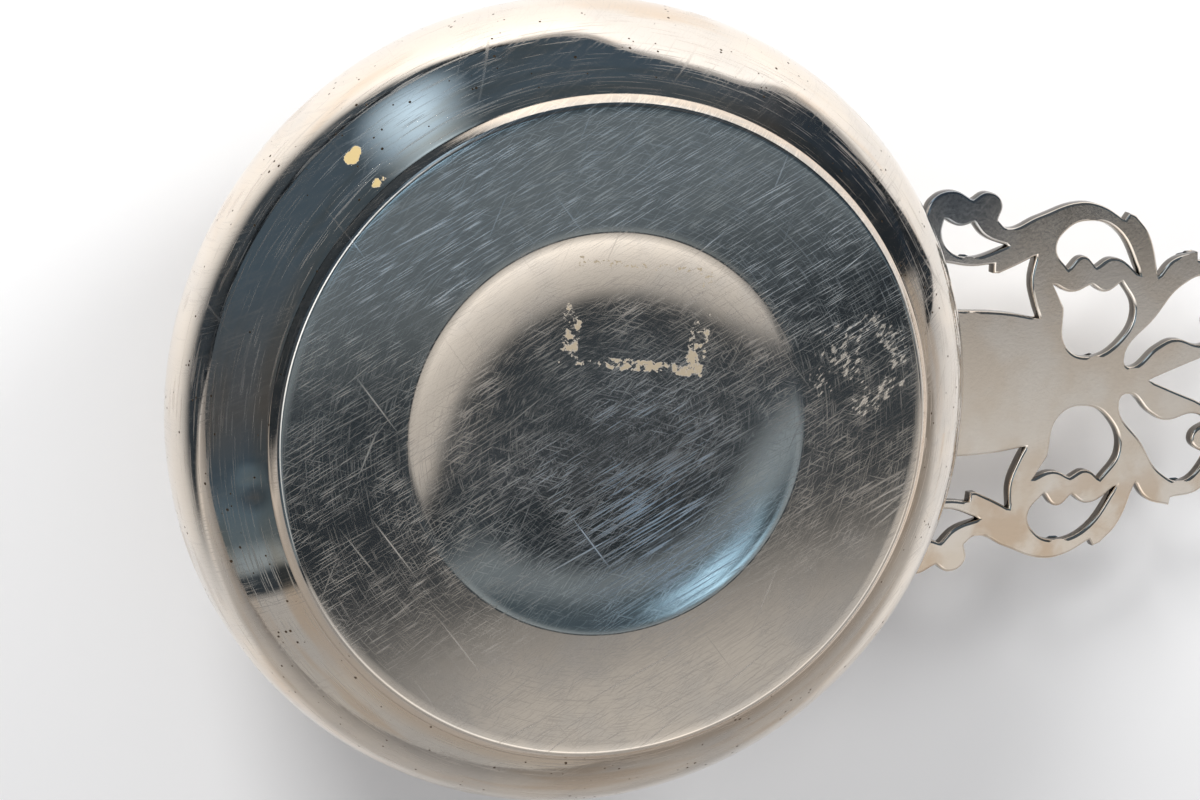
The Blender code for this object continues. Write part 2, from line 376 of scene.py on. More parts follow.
# Colours
SILVER = (0.86, 0.77, 0.665)
SILVER_DULL = (0.76, 0.70, 0.63)
SILVER_BROWN = (0.74, 0.58, 0.43)
# Rubbed silver between the strokes, and painted shade on the ring's left side
SILVER_RUBBED_AND_SHADED = (0.46, 0.43, 0.39)
SILVER_DEEP = (0.24, 0.25, 0.25)
SCRATCHED = (0.69, 0.61, 0.53)
SCRATCHED_PALE = (0.93, 0.93, 0.92)
# Painted reflection of a bluish light in the scratches
SCRATCHED_BLUE_REFLECTION = (0.42, 0.55, 0.68)
PIT_BROWN = (0.16, 0.11, 0.07)
LABEL_CREAM = (0.42, 0.35, 0.25)
LABEL_GOLD = (0.52, 0.40, 0.19)
CAST_SILVER = (0.93, 0.85, 0.76)
CAST_SILVER_WARM = (0.88, 0.77, 0.65)
CAST_SILVER_BROWN = (0.76, 0.60, 0.45)
# Painted shade on the handle's corner scroll
CAST_SILVER_PAINTED_SHADE = (0.42, 0.44, 0.46)
# Painted shade in the pierced walls
CUT_WALL_SHADE = (0.10, 0.095, 0.09)
SOLDER = (0.74, 0.66, 0.56)
SOLDER_DARK = (0.50, 0.42, 0.33)
SKY_LOW = (0.38, 0.39, 0.41)
SKY_HIGH = (0.95, 0.95, 0.95)
AMBIENT = (0.46, 0.46, 0.47)
WHITE = (1.0, 1.0, 1.0)
FLOOR_COLOUR = (0.86, 0.86, 0.86)
TABLE_COLOUR = (0.94, 0.94, 0.94)

# The floor's two sheets by depth, and the paper over the bowl, with the soft edges and the painted shade
# that silver mirrors
FLOORS = {"floor": 0.0002, "floor_under": 0.0004}
SHEET_HALF_SIZE = 3.0
PAPER_ROUGHNESS = 0.9
TABLE_GAP = 0.015
PAPER_LEFT = (-0.238, -0.108)
PAPER_LEFT_END = (0.08, 0.13)
PAPER_RIGHT = (0.088, 0.108)
PAPER_RIGHT_LEAN = 0.60
PAPER_RIGHT_END = (-0.068, -0.060)
# Painted shade on the paper, seen in the silver only: where it greys towards +y
PAPER_SHADE_BOTTOM = (0.097, 0.157)
TABLE_DARK = (0.030, 0.040, 0.052)
# Painted shade of the paper towards +y
TABLE_PAINTED_SHADE = (0.55, 0.54, 0.53)

# The room below, from its dark end to its pale side
ROOM_LEAN = 0.42
ROOM_BEND = 0.16
ROOM = (
    (-0.80, (0.060, 0.092, 0.130)),
    (-0.32, (0.076, 0.084, 0.094)),
    (-0.10, (0.050, 0.076, 0.106)),
    (0.04, (0.085, 0.130, 0.175)),
    (0.17, (0.100, 0.140, 0.175)),
    (0.225, (0.243, 0.303, 0.355)),
    (0.265, (0.270, 0.330, 0.380)),
    (0.30, (0.034, 0.046, 0.060)),
    (0.358, (0.034, 0.044, 0.056)),
    (0.390, (0.47, 0.47, 0.47)),
    (0.46, (0.68, 0.68, 0.68)),
    (0.60, (1.25, 1.25, 1.25)),
)
ROOM_LOW_HEIGHT = (-0.75, -0.45)
ROOM_LOW_LIMIT = 0.389
ROOM_TAIL_FROM = 0.36
ROOM_TAIL_RISE = 0.47
ROOM_TAIL_LIMIT = 0.405
ROOM_TAIL_HEIGHT = (-0.80, -0.76)
ROOM_RIGHT_HEIGHT = (-0.5, -0.2)
ROOM_RIGHT_REACH = (0.5, 0.9)
ROOM_RIGHT_SHIFT = 0.28
ROOM_RIGHT_DARK = (0.34, 0.37)
ROOM_RIGHT_END = (0.020, 0.030, 0.045)
HORIZON = (0.02, 0.06)
SKY_RISE = (0.0, 0.9)

# Soft panes of light in that room: azimuth and elevation in degrees, half width and half height, colour
PANES = (
    (-118, -20, 0.24, 0.55, (0.66, 0.92, 1.20)),
    (20, -81, 0.12, 0.09, (0.85, 1.40, 1.90)),
    (-168, -60, 0.80, 0.32, (2.30, 2.45, 2.60)),
)

# Lamps: azimuth and elevation in degrees, distance, size, power, colour, and whether the silver mirrors them
LAMPS = {
    "key_below": (-125, -35, 0.7, 0.22, 3.9, WHITE, False),
    "second_below": (-55, -35, 0.7, 0.22, 1.8, WHITE, False),
    "key_above": (-130, 48, 1.0, 0.7, 10.0, (1.0, 0.99, 0.97), True),
}

# Camera: its place from the bowl's axis, and its turn about x, y and z in degrees
CAMERA_PLACE = (-0.16156, -0.12417, -0.52745)
CAMERA_TURN = (166.520, 15.785, -4.822)
CAMERA_LENS = 108.0
SENSOR_WIDTH = 36.0
CLIP_START = 0.01


def curve_points(start, start_pull, end_pull, end, steps):
    """Points of a cubic curve after its start, as (radius, height)."""
    points = []
    for step in range(1, steps + 1):
        t = step / steps
        weights = ((1 - t) ** 3, 3 * t * (1 - t) ** 2, 3 * t * t * (1 - t), t**3)
        corners = (start, start_pull, end_pull, end)
        points.append(tuple(sum(w * c[axis] for w, c in zip(weights, corners)) for axis in (0, 1)))
    return points


def outside_profile():
    """The outside from the middle of the domed foot to the lip, as (radius, height)."""
    points = []
    for step in range(DOME_STEPS):
        share = step / DOME_STEPS
        points.append((DOME_RADIUS * share, DOME_RISE * (1 - share**DOME_POWER)))
    points.append((DOME_RADIUS, 0.0))
    crease_end = DOME_RADIUS + DOME_CREASE
    ring_end = BASE_RADIUS - BASE_EDGE_RADIUS
    for step in range(RING_STEPS):
        points.append((crease_end + (ring_end - crease_end) * step / RING_STEPS, 0.0))
    for step in range(EDGE_STEPS + 1):
        turn = -math.pi / 2 + (math.pi / 2 - STEP_FLARE) * step / EDGE_STEPS
        radius = ring_end + BASE_EDGE_RADIUS * math.cos(turn)
        points.append((radius, BASE_EDGE_RADIUS + BASE_EDGE_RADIUS * math.sin(turn)))
    edge = Vector(points[-1])
    corner = Vector((edge.x + (STEP_HEIGHT - edge.y) * math.tan(STEP_FLARE), STEP_HEIGHT))
    step_top = corner + (edge - corner).normalized() * STEP_ROUNDING
    along_foot = Vector((math.sin(FOOT_FLARE), math.cos(FOOT_FLARE)))
    foot = corner + along_foot * STEP_ROUNDING
    points.append(tuple(step_top))
    points += curve_points(step_top, corner, corner, foot, ROUNDING_STEPS)
    foot_pull = foot + along_foot * (FOOT_PULL - STEP_ROUNDING)
    belly = (BELLY_RADIUS, BELLY_HEIGHT)
    points += curve_points(foot, foot_pull, (BELLY_RADIUS, BELLY_HEIGHT - BELLY_PULL), belly, FOOT_STEPS)
    neck = (NECK_RADIUS, NECK_HEIGHT)
    neck_pull = (NECK_RADIUS, NECK_HEIGHT - NECK_PULL)
    points += curve_points(belly, (BELLY_RADIUS, BELLY_HEIGHT + BELLY_PULL), neck_pull, neck, SHOULDER_STEPS)
    rise = (LIP_HEIGHT - NECK_HEIGHT) / 3
    lip = (LIP_RADIUS, LIP_HEIGHT - LIP_THICKNESS / 2)
    lip_pull = ((NECK_RADIUS + LIP_RADIUS) / 2, lip[1] - rise)
    return points + curve_points(neck, (NECK_RADIUS, NECK_HEIGHT + rise), lip_pull, lip, LIP_STEPS)


def inside_profile(outside):
    """The outside moved in by the sheet's thickness, which grows at the lip."""
    moved = []
    for index, point in enumerate(outside):
        before = outside[max(index - 1, 0)]
        after = outside[min(index + 1, len(outside) - 1)]
        run = Vector((after[0] - before[0], after[1] - before[1])).normalized()
        thickening = max(0, index - len(outside) + LIP_STEPS + 1) / LIP_STEPS
        thickness = SHEET_THICKNESS + (LIP_THICKNESS - SHEET_THICKNESS) * thickening
        moved.append((max(0.0, point[0] - thickness * run.y), point[1] + thickness * run.x))
    moved[0] = (0.0, moved[0][1])
    return moved


def bowl_profile():
    """Up the inside from the axis, over the round lip and down the outside."""
    outside = outside_profile()
    inside = inside_profile(outside)
    inner, outer = Vector(inside[-1]), Vector(outside[-1])
    middle = (inner + outer) / 2
    arm = inner - middle
    lip = []
    for step in range(1, LIP_STEPS + 1):
        turn = math.pi * step / (LIP_STEPS + 1)
        radius = middle.x + arm.x * math.cos(turn) + arm.y * math.sin(turn)
        height = middle.y - arm.x * math.sin(turn) + arm.y * math.cos(turn)
        lip.append((radius, height))
    return inside + lip + outside[::-1]


def evaluated_mesh(obj):
    """The object's mesh with its modifiers, and its curve filled."""
    bpy.context.view_layer.update()
    return bpy.data.meshes.new_from_object(obj.evaluated_get(bpy.context.evaluated_depsgraph_get()))


def new_piece(name, mesh, material, nodes):
    """A piece of the object that stands for CAD nodes."""
    piece = bpy.data.objects.new(name, mesh)
    bpy.context.scene.collection.objects.link(piece)
    mesh.materials.clear()
    mesh.materials.append(material)
    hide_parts(*nodes)
    return piece


def bowl_mesh():
    """The turned sheet, with its wear."""
    profile = bowl_profile()
    line = bpy.data.meshes.new("bowl_line")
    edges = [(index, index + 1) for index in range(len(profile) - 1)]
    line.from_pydata([(radius, 0.0, height) for radius, height in profile], edges, [])
    drawn = bpy.data.objects.new("bowl_drawn", line)
    bpy.context.scene.collection.objects.link(drawn)
    screw = drawn.modifiers.new("Turn", "SCREW")
    screw.steps = TURN_STEPS
    screw.render_steps = TURN_STEPS
    screw.use_merge_vertices = True
    screw.merge_threshold = MERGE_DISTANCE
    mesh = evaluated_mesh(drawn)
    bpy.data.objects.remove(drawn)
    wear_bowl(mesh)
    mesh.shade_smooth()
    return mesh


def wear_bowl(mesh):
    """Faint hammer waves, hollows in the wall at the picture's top and a dent beside the foot."""
    worn = bmesh.new()
    worn.from_mesh(mesh)
    bmesh.ops.recalc_face_normals(worn, faces=worn.faces)
    worn.normal_update()
    moves = []
    for vertex in worn.verts:
        place = vertex.co
        on_wall = min(1.0, max(0.0, (math.hypot(place.x, place.y) - WAVY_FROM) / WAVY_FADE))
        ripple = noise.noise(place * RIPPLES + Vector(RIPPLE_SHIFT))
        wave = noise.noise(place * WAVES) + RIPPLE_SHARE * ripple
        depth = (RING_WAVE + (WALL_WAVE - RING_WAVE) * on_wall) * (1 + wave)
        outside = vertex.normal.z < 0 or vertex.normal.x * place.x + vertex.normal.y * place.y > 0
        side = 1.0 if outside else -1.0
        for centre, size, hollow in DENTS:
            depth += side * hollow * math.exp(-(((place - Vector(centre)).length / size) ** 2))
        moves.append(-depth * vertex.normal)
    for vertex, move in zip(worn.verts, moves):
        vertex.co += move
    worn.to_mesh(mesh)
    worn.free()


def root_along(across):
    """A place in the wall, in the pattern's millimetres, at a distance across from the middle line."""
    side = across * MM
    return (math.sqrt((NECK_RADIUS - ROOT_SINK) ** 2 - side**2) - LIP_RADIUS) / MM


def handle_outline():
    """The outer edge of one side: the plate, its notch, the corner pad and the scrolls to the tip."""
    plate = [(root_along(0), 0.0, ROUND), (root_along(PLATE_SIDE), PLATE_SIDE, CORNER)]
    pad = [
        (root_along(PAD_NEAR_SIDE), PAD_NEAR_SIDE, CORNER),
        (root_along(PAD_FAR_SIDE), PAD_FAR_SIDE, CORNER),
    ]
    return plate + SIDE_NOTCH + pad + CORNER_SCROLL + FIRST_SCROLL + SECOND_SCROLL + TIP


def mirrored(points):
    """The points of the other side, in the other direction."""
    return [(along, -across, kind) for along, across, kind in reversed(points)]


def across_middle(points):
    """A closed outline from one side of it, with the points on the middle line used once."""
    return points + [point for point in mirrored(points) if point[1] != 0.0]


def add_outline(curve, points):
    """One closed spline of the flat curve."""
    spline = curve.splines.new("BEZIER")
    spline.bezier_points.add(len(points) - 1)
    spline.use_cyclic_u = True
    for target, (along, across, kind) in zip(spline.bezier_points, points):
        target.co = (along * MM, across * MM, 0.0)
        target.handle_left_type = kind
        target.handle_right_type = kind


def handle_matrix():
    """From the flat pattern to the handle's place: under the lip, rising to its tip."""
    place = Matrix.Translation((AXIS_X + LIP_RADIUS, 0.0, NECK_HEIGHT))
    lift = Matrix.Translation((0.0, 0.0, HANDLE_THICKNESS / 2))
    return place @ Matrix.Rotation(-HANDLE_RISE, 4, "Y") @ lift


def edge_rounding():
    """The steps of a quarter round: how far each one goes in, and its height, as shares of the radius."""
    turns = [math.pi / 2 * step / EDGE_ROUND_STEPS for step in range(EDGE_ROUND_STEPS + 1)]
    return [(math.cos(before) - math.cos(after), math.sin(after)) for before, after in zip(turns, turns[1:])]


def handle_mesh():
    """The pierced plate, with its edges rounded above and below."""
    curve = bpy.data.curves.new("handle_curve", "CURVE")
    curve.dimensions = "2D"
    curve.fill_mode = "BOTH"
    curve.extrude = HANDLE_THICKNESS / 2 - HANDLE_EDGE
    curve.resolution_u = OUTLINE_STEPS
    for outline in (across_middle(handle_outline()), across_middle(KEYHOLE)):
        add_outline(curve, outline)
    for hole in (CRESCENT, OUTER_EYE, INNER_EYE, SIDE_WINDOW):
        add_outline(curve, hole)
        add_outline(curve, mirrored(hole))
    drawn = bpy.data.objects.new("handle_drawn", curve)
    bpy.context.scene.collection.objects.link(drawn)
    mesh = evaluated_mesh(drawn)
    bpy.data.objects.remove(drawn)
    shaped = bmesh.new()
    shaped.from_mesh(mesh)
    bmesh.ops.remove_doubles(shaped, verts=shaped.verts, dist=WELD_DISTANCE)
    bmesh.ops.recalc_face_normals(shaped, faces=shaped.faces)
    shaped.normal_update()
    for side in (1, -1):
        cap = [face for face in shaped.faces if face.normal.z * side > FLAT]
        for inset, height in edge_rounding():
            bmesh.ops.inset_region(shaped, faces=cap, thickness=inset * HANDLE_EDGE, use_boundary=True)
            for vertex in {vertex for face in cap for vertex in face.verts}:
                vertex.co.z = side * (HANDLE_THICKNESS / 2 - (1 - height) * HANDLE_EDGE)
        inside = set(cap)
        rim = {edge for face in cap for edge in face.edges if not inside.issuperset(edge.link_faces)}
        bmesh.ops.delete(shaped, geom=cap, context="FACES")
        bmesh.ops.triangle_fill(shaped, edges=list(rim), use_beauty=True, normal=(0.0, 0.0, side))
    shaped.to_mesh(mesh)
    shaped.free()
    mesh.set_sharp_from_angle(angle=HANDLE_SHARP)
    for face in mesh.polygons:
        face.use_smooth = abs(face.normal.z) < FLAT
    return mesh


def solder_mesh(from_side, to_side, seed):
    """Uneven fillets of solder over and under the handle's root, between two distances across."""
    places = []
    for step in range(SOLDER_STEPS + 1):
        share = step / SOLDER_STEPS
        across = from_side - SOLDER_OVERHANG + (to_side - from_side + 2 * SOLDER_OVERHANG) * share
        wall = (math.sqrt(NECK_RADIUS**2 - (across * MM) ** 2) - LIP_RADIUS) / MM
        end = min(1.0, SOLDER_END_SLOPE * min(share, 1 - share) + SOLDER_END)
        for along, height in SOLDER_SECTION:
            lump = noise.noise((SOLDER_LUMPS * across, height, seed))
            fullness = end * (1 + SOLDER_UNEVENNESS * lump)
            out = math.copysign(HANDLE_THICKNESS / 2 / MM, height) + height * fullness
            places.append(((wall + along * fullness) * MM, across * MM, out * MM))
    count = len(SOLDER_SECTION)
    faces = [tuple(range(count)), tuple(range(len(places) - 1, len(places) - 1 - count, -1))]
    for step in range(SOLDER_STEPS):
        first, second = step * count, (step + 1) * count
        for corner in range(count):
            after = (corner + 1) % count
            faces.append((first + corner, second + corner, second + after, first + after))
    mesh = bpy.data.meshes.new("solder")
    mesh.from_pydata(places, [], faces)
    shaped = bmesh.new()
    shaped.from_mesh(mesh)
    bmesh.ops.recalc_face_normals(shaped, faces=shaped.faces)
    shaped.to_mesh(mesh)
    shaped.free()
    mesh.shade_smooth()
    mesh.set_sharp_from_angle(angle=SOLDER_SHARP)
    return mesh


def node(tree, kind, settings=None, **inputs):
    """A shader node with its settings, and its inputs as values or as other nodes' outputs."""
    made = tree.nodes.new("ShaderNode" + kind)
    for name, value in (settings or {}).items():
        setattr(made, name, value)
    for name, value in inputs.items():
        plug(tree, made.inputs[name.replace("_", " ")], value)
    return made


def plug(tree, socket, value):
    """Another node's output into a socket, or a value on it."""
    if isinstance(value, bpy.types.NodeSocket):
        tree.links.new(value, socket)
    else:
        socket.default_value = value


def calculate(tree, operation, *values):
    """The result of a Math node."""
    made = node(tree, "Math", {"operation": operation})
    for socket, value in zip(made.inputs, values):
        plug(tree, socket, value)
    return made.outputs[0]


def product(tree, *values):
    """The values multiplied."""
    total = values[0]
    for value in values[1:]:
        total = calculate(tree, "MULTIPLY", total, value)
    return total


def largest(tree, *values):
    """The largest of the values."""
    total = values[0]
    for value in values[1:]:
        total = calculate(tree, "MAXIMUM", total, value)
    return total


def soft_step(tree, value, low, high, to_low=0.0, to_high=1.0):
    """A soft step of a value between two limits."""
    made = node(tree, "MapRange", {"interpolation_type": "SMOOTHSTEP"})
    for name, number in (("From Min", low), ("From Max", high), ("To Min", to_low), ("To Max", to_high)):
        made.inputs[name].default_value = number
    plug(tree, made.inputs["Value"], value)
    return made.outputs[0]


def soft_fall(tree, value, low, high):
    """1 up to the low limit of a value, falling softly to 0 at the high one."""
    return soft_step(tree, value, low, high, 1.0, 0.0)


def blend_colour(tree, share, first, second):
    """From the first colour to the second one by a share."""
    made = node(tree, "Mix", {"data_type": "RGBA"})
    plug(tree, made.inputs[0], share)
    for socket, colour in ((made.inputs[6], first), (made.inputs[7], second)):
        plug(tree, socket, colour if isinstance(colour, bpy.types.NodeSocket) else (*colour, 1.0))
    return made.outputs[2]


def blend_value(tree, share, first, second):
    """From the first number to the second one by a share."""
    made = node(tree, "Mix", {"data_type": "FLOAT"})
    for socket, value in zip((made.inputs[0], made.inputs[2], made.inputs[3]), (share, first, second)):
        plug(tree, socket, value)
    return made.outputs[0]


def clouds(tree, place, scale, detail=2.0, roughness=0.5):
    """Noise with about that many waves per unit of the place."""
    return node(tree, "TexNoise", Vector=place, Scale=scale, Detail=detail, Roughness=roughness).outputs[0]


def stretched(tree, place, degrees, along, across, shift):
    """The place turned about the bowl's axis, in long steps along one way and short ones across it."""
    made = node(tree, "Mapping", {"vector_type": "TEXTURE"}, Vector=place)
    made.inputs["Rotation"].default_value = (0.0, 0.0, math.radians(degrees))
    made.inputs["Location"].default_value = (shift, SHIFT_ACROSS * shift, 0.0)
    made.inputs["Scale"].default_value = (along, across, along)
    return made.outputs[0]


def brushed(tree, place, degrees, length, spacing, share, shift):
    """Fine marks in one direction: 1 on a mark and 0 beside it."""
    streaks = clouds(tree, stretched(tree, place, degrees, length, spacing, shift), *SMOOTH_NOISE)
    return soft_step(tree, streaks, 1.0 - share, 1.0 - share + MARK_EDGE)


def near(tree, place, centre, reach):
    """1 at a point, falling to 0 at its reach."""
    gap = node(tree, "VectorMath", {"operation": "DISTANCE"}, Vector=place)
    gap.inputs[1].default_value = centre
    return soft_fall(tree, gap.outputs["Value"], 0.0, reach)


def millimetres(tree):
    """The place on the piece, in millimetres."""
    made = node(tree, "VectorMath", {"operation": "SCALE"}, Vector=node(tree, "TexCoord").outputs["Object"])
    made.inputs["Scale"].default_value = 1 / MM
    return made.outputs[0]


def underneath(tree):
    """1 where the surface faces down, and 0 where it faces up."""
    normal = node(tree, "TexCoord").outputs["Normal"]
    return calculate(tree, "LESS_THAN", node(tree, "SeparateXYZ", Vector=normal).outputs[2], 0.0)


def turned_place(tree, place):
    """The place as (round the axis, out from it, up) with its seam under the handle, and its radius."""
    x, y, z = node(tree, "SeparateXYZ", Vector=place).outputs
    radius = calculate(tree, "SQRT", calculate(tree, "ADD", product(tree, x, x), product(tree, y, y)))
    turn = calculate(tree, "ARCTAN2", product(tree, y, -1.0), product(tree, x, -1.0))
    made = node(tree, "CombineXYZ", X=product(tree, turn, MM_PER_RADIAN), Y=radius, Z=z)
    return made.outputs[0], radius


def metal(name):
    """A new metal with its node tree and its shader."""
    material = bpy.data.materials.new(name)
    material.use_nodes = True
    tree = material.node_tree
    shader = tree.nodes["Principled BSDF"]
    shader.inputs["Metallic"].default_value = 1.0
    return material, tree, shader


def bowl_zones(tree, place, radius):
    """The bowl's zones by name: each is 1 inside the zone and 0 outside it."""
    x, y, _ = node(tree, "SeparateXYZ", Vector=place).outputs
    wall = soft_step(tree, radius, *WALL_ZONE)
    foot = calculate(tree, "SUBTRACT", 1.0, wall)
    ring = product(tree, soft_step(tree, radius, *RING_ZONE), foot)
    past_ring = soft_step(tree, radius, *CREASE_START)
    return {
        "wall": wall,
        "foot": foot,
        "below": underneath(tree),
        "top_ring": product(tree, soft_fall(tree, y, *PICTURE_TOP), ring),
        # The ring's left side, which gets painted shade
        "left_ring": product(tree, soft_fall(tree, x, *PICTURE_LEFT), ring),
        "low_dome": product(tree, soft_step(tree, y, *PICTURE_BOTTOM), soft_fall(tree, radius, *DOME_ZONE)),
        "crease": product(tree, past_ring, soft_fall(tree, radius, *CREASE_END)),
    }


def bowl_grain(tree, place, zones):
    """Brushed strokes in three ways, of which the cross strokes are fainter."""
    cross_share = soft_step(tree, zones["top_ring"], 0.0, 1.0, CROSS_STROKES, CROSS_STROKES_TOP)
    strokes, *crossing = [brushed(tree, place, *way) for way in BRUSHED]
    return largest(tree, strokes, *[product(tree, marks, cross_share) for marks in crossing])


def bowl_scratches(tree, place, round_place, zones, grain):
    """All marks on the silver: grain in patches, long scratches, turning rings and smears on the dome."""
    patches = soft_step(tree, clouds(tree, place, *PATCHES), *PATCH_STEP)
    lines = [brushed(tree, place, *way) for way in SCRATCHES]
    straight = largest(tree, product(tree, grain, patches, GRAIN_STRENGTH), *lines)
    straight = product(tree, straight, soft_step(tree, zones["foot"], 0.0, 1.0, STRAIGHT_ON_WALL, 1.0))
    rings = largest(tree, *[brushed(tree, round_place, *way) for way in TURNED])
    rings = product(tree, rings, soft_step(tree, zones["wall"], 0.0, 1.0, TURNED_ON_FOOT, 1.0))
    on_dome = product(tree, near(tree, place, SMEAR_PLACE, SMEAR_REACH), zones["below"])
    return largest(tree, straight, rings, product(tree, brushed(tree, place, *SMEARED), on_dome))


def bowl_tone(tree, place, round_place, haze, zones, grain, scratches):
    """The silver's colour: clouded, browned along the wall, darker between the strokes and paler on them;
    painted shade on the ring's left side and a painted reflection in the dome's scratches.
    """
    tone = blend_colour(tree, soft_step(tree, haze, *HAZE_STEP), SILVER, SILVER_DULL)
    streaks = clouds(tree, stretched(tree, round_place, *STREAK_WAY), *FINE_NOISE)
    browned = product(tree, soft_step(tree, streaks, *STREAK_STEP), zones["wall"], BROWN_SHARE)
    tone = blend_colour(tree, browned, tone, SILVER_BROWN)
    tone = blend_colour(tree, product(tree, zones["crease"], CREASE_SHARE), tone, SILVER_BROWN)
    between = soft_fall(tree, grain, *BETWEEN_STEP)
    rubbed = product(tree, largest(tree, zones["top_ring"], zones["low_dome"]), between, RUBBED_SHARE)
    # Between the strokes the ring's top and the dome's bottom are rubbed darker; the ring's left side is
    # painted shade
    left_shade = product(tree, zones["left_ring"], LEFT_SHADE_SHARE)
    rubbed_or_shaded = product(tree, largest(tree, rubbed, left_shade), zones["below"])
    tone = blend_colour(tree, rubbed_or_shaded, tone, SILVER_RUBBED_AND_SHADED)
    hatched = product(tree, zones["top_ring"], zones["below"])
    tone = blend_colour(tree, product(tree, hatched, between, HATCHED_SHARE), tone, SILVER_DEEP)
    # Painted reflection: the dome's scratches tinted where a bluish light glints in them
    blue = product(tree, near(tree, place, BLUE_REFLECTION_PLACE, BLUE_REFLECTION_REACH), zones["below"])
    scratched = blend_colour(tree, blue, SCRATCHED, SCRATCHED_BLUE_REFLECTION)
    scratched = blend_colour(tree, hatched, scratched, SCRATCHED_PALE)
    scratched_share = product(tree, scratches, largest(tree, zones["foot"], SCRATCHED_ON_WALL))
    return blend_colour(tree, scratched_share, tone, scratched)


def wall_pits(tree, place, zones):
    """1 in small pits, which gather in patches on the wall."""
    cells = node(tree, "TexVoronoi", Vector=place, Scale=PITS)
    size = soft_step(tree, clouds(tree, place, *PIT_PATCHES), *PIT_PATCH_STEP, 0.0, PIT_SIZE)
    return calculate(tree, "LESS_THAN", cells.outputs["Distance"], product(tree, size, zones["wall"]))


def polished_silver():
    """Mirror silver with polishing hairlines, tarnish clouds, brown pits and the remains of old labels."""
    material, tree, shader = metal("polished_silver_worn")
    place = millimetres(tree)
    round_place, radius = turned_place(tree, place)
    zones = bowl_zones(tree, place, radius)
    grain = bowl_grain(tree, place, zones)
    scratches = bowl_scratches(tree, place, round_place, zones, grain)
    haze = clouds(tree, place, *HAZE)
    tone = bowl_tone(tree, place, round_place, haze, zones, grain, scratches)
    pit = wall_pits(tree, place, zones)
    residue = product(tree, old_labels(tree, place), zones["below"])

    colour = blend_colour(tree, pit, tone, PIT_BROWN)
    label = blend_colour(tree, zones["wall"], LABEL_CREAM, LABEL_GOLD)
    plug(tree, shader.inputs["Base Color"], blend_colour(tree, residue, colour, label))
    mirror = soft_step(tree, haze, *POLISH_STEP, *MIRROR_ROUGHNESS)
    mirror = product(tree, mirror, soft_step(tree, zones["wall"], 0.0, 1.0, 1.0, WALL_POLISH))
    roughness = blend_value(tree, scratches, mirror, SCRATCH_ROUGHNESS)
    roughness = blend_value(tree, largest(tree, pit, residue), roughness, DULL_ROUGHNESS)
    plug(tree, shader.inputs["Roughness"], roughness)
    pale = largest(tree, residue, product(tree, scratches, SCRATCH_PALENESS))
    plug(tree, shader.inputs["Metallic"], calculate(tree, "SUBTRACT", 1.0, pale))
    return material


def old_labels(tree, place):
    """Where dry adhesive is left: a label's edges on the dome, crumbs on the ring and spots on the wall."""
    ragged = clouds(tree, place, *RAGGED)
    gaps = soft_step(tree, clouds(tree, place, *GAPS), *GAP_STEP)
    turned = node(tree, "Mapping", {"vector_type": "TEXTURE"}, Vector=place)
    turned.inputs["Location"].default_value = DOME_LABEL_PLACE
    turned.inputs["Rotation"].default_value = (0.0, 0.0, DOME_LABEL_TURN)
    x, y, _ = node(tree, "SeparateXYZ", Vector=turned.outputs[0]).outputs
    beyond_x = calculate(tree, "SUBTRACT", calculate(tree, "ABSOLUTE", x), DOME_LABEL_SIZE[0] / 2)
    beyond_y = calculate(tree, "SUBTRACT", calculate(tree, "ABSOLUTE", y), DOME_LABEL_SIZE[1] / 2)
    beyond_y = product(tree, beyond_y, DOME_LABEL_THINNING)
    off_edge = calculate(tree, "ABSOLUTE", largest(tree, beyond_x, beyond_y))
    edge = product(tree, soft_fall(tree, off_edge, *LABEL_EDGE_WIDTH), soft_step(tree, y, *LABEL_EDGE_FROM))
    edge = soft_step(tree, product(tree, edge, ragged, gaps), *LABEL_EDGE_STEP)
    specks = product(tree, soft_fall(tree, off_edge, *SPECKS_WIDTH), soft_fall(tree, y, *SPECKS_TO))
    specks = soft_step(tree, product(tree, specks, clouds(tree, place, *SPECKS)), *SPECKS_STEP)
    dashes = clouds(tree, stretched(tree, place, *CRUMB_WAY), *FINE_NOISE)
    on_label = soft_step(tree, near(tree, place, RING_LABEL_PLACE, RING_LABEL_REACH), *RING_LABEL_STEP)
    crumbs = soft_step(tree, product(tree, on_label, dashes, gaps), *CRUMB_STEP, 0.0, CRUMB_SHARE)
    spots = largest(tree, *[near(tree, place, spot, reach) for spot, reach in WALL_SPOTS])
    spots = soft_step(tree, calculate(tree, "SUBTRACT", spots, ragged), *WALL_SPOT_STEP)
    return largest(tree, edge, specks, crumbs, spots)


